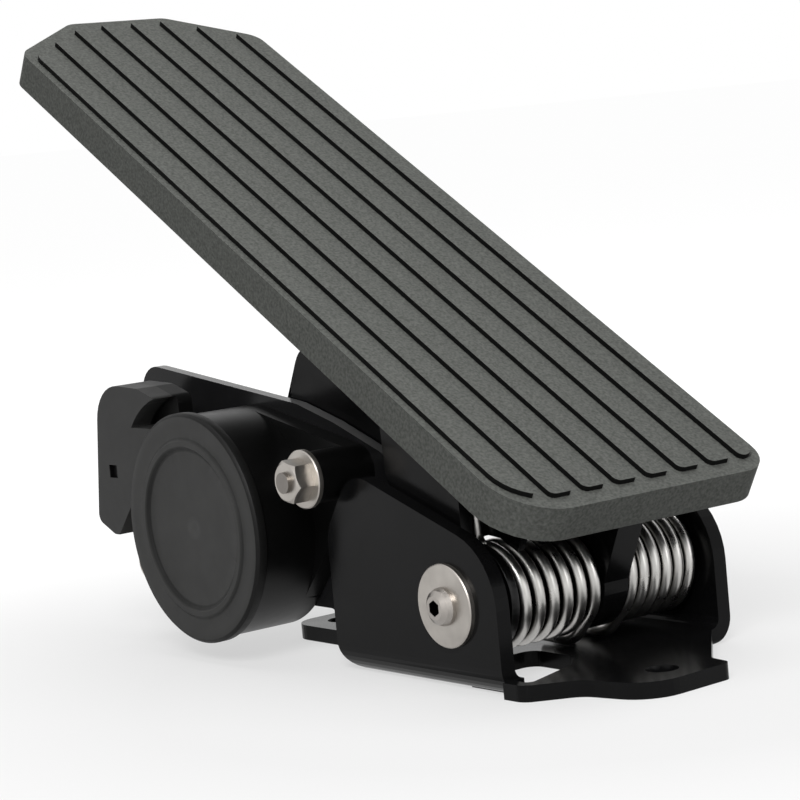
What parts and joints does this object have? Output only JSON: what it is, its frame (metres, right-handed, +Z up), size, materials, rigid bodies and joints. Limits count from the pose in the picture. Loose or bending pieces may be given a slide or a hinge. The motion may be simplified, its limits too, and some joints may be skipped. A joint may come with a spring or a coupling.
{
  "type": "accelerator_pedal",
  "caption": "Floor-mounted accelerator pedal: long ribbed treadle on a heel hinge with torsion springs, folded steel bracket and a side-mounted rotary position sensor",
  "frame": {"origin": "on the floor, straight below the middle of the hinge axis", "axes": "X to the right across the pedal, Y from the heel to the toe, Z up"},
  "size_m": [0.1029, 0.2638, 0.1936],
  "materials": {
    "powder_coat": "satin",
    "zinc_steel": "satin",
    "spring_steel": "satin",
    "black_plastic": "matte",
    "grey_plastic": "matte",
    "seal_rubber": "matte",
    "board_green": "gloss",
    "contact_brass": "satin",
    "bush_bronze": "satin",
    "pad_rubber": "matte",
    "magnet_ferrite": "matte"
  },
  "bodies": {
    "base": {"base_bracket": "powder_coat", "sensor_bracket": "powder_coat", "bracket_screws": "zinc_steel", "pivot_shaft": "zinc_steel", "pivot_bolt_left": "zinc_steel", "pivot_bolt_right": "zinc_steel", "pivot_washer_left": "zinc_steel", "pivot_washer_right": "zinc_steel", "spring_guide_left": "black_plastic", "spring_guide_right": "black_plastic", "torsion_spring_left": "spring_steel", "torsion_spring_right": "spring_steel", "sensor_housing": "black_plastic", "sensor_cap": "grey_plastic", "cap_seal": "seal_rubber", "circuit_board": "board_green", "connector_block": "grey_plastic", "contact_pins": "contact_brass", "sensor_studs": "zinc_steel", "sensor_washers": "zinc_steel", "sensor_nuts": "zinc_steel", "sensor_bush": "bush_bronze"},
    "treadle": {"treadle_plate": "powder_coat", "treadle_pad": "pad_rubber", "hinge_bracket": "powder_coat", "hinge_bush_left": "bush_bronze", "hinge_bush_middle": "bush_bronze", "treadle_screws": "zinc_steel", "actuator_cam": "black_plastic"},
    "lever": {"sensor_shaft": "zinc_steel", "sensor_magnet": "magnet_ferrite", "sensor_lever": "powder_coat", "roller_pin": "zinc_steel"},
    "roller": {"lever_roller": "black_plastic"}
  },
  "joints": [
    {"name": "treadle_hinge", "type": "hinge", "parent": "base", "child": "treadle", "pos_m": [0, 0, 0.0235], "axis": [-1, 0, 0], "range_deg": [0, 15], "stiffness_Nm_per_rad": 8, "springref_deg": -34.38, "deforming": ["torsion_spring_left", "torsion_spring_right"]},
    {"name": "lever_hinge", "type": "hinge", "parent": "base", "child": "lever", "pos_m": [0, 0.1019, 0.0401], "axis": [1, 0, 0], "range_deg": [0, 39]},
    {"name": "roller_spin", "type": "hinge", "parent": "lever", "child": "roller", "pos_m": [0, 0.08288, 0.08088], "axis": [1, 0, 0], "continuous": true}
  ],
  "couplings": [
    {"joint": "lever_hinge", "follows": "treadle_hinge", "ratio": 2.6}
  ]
}
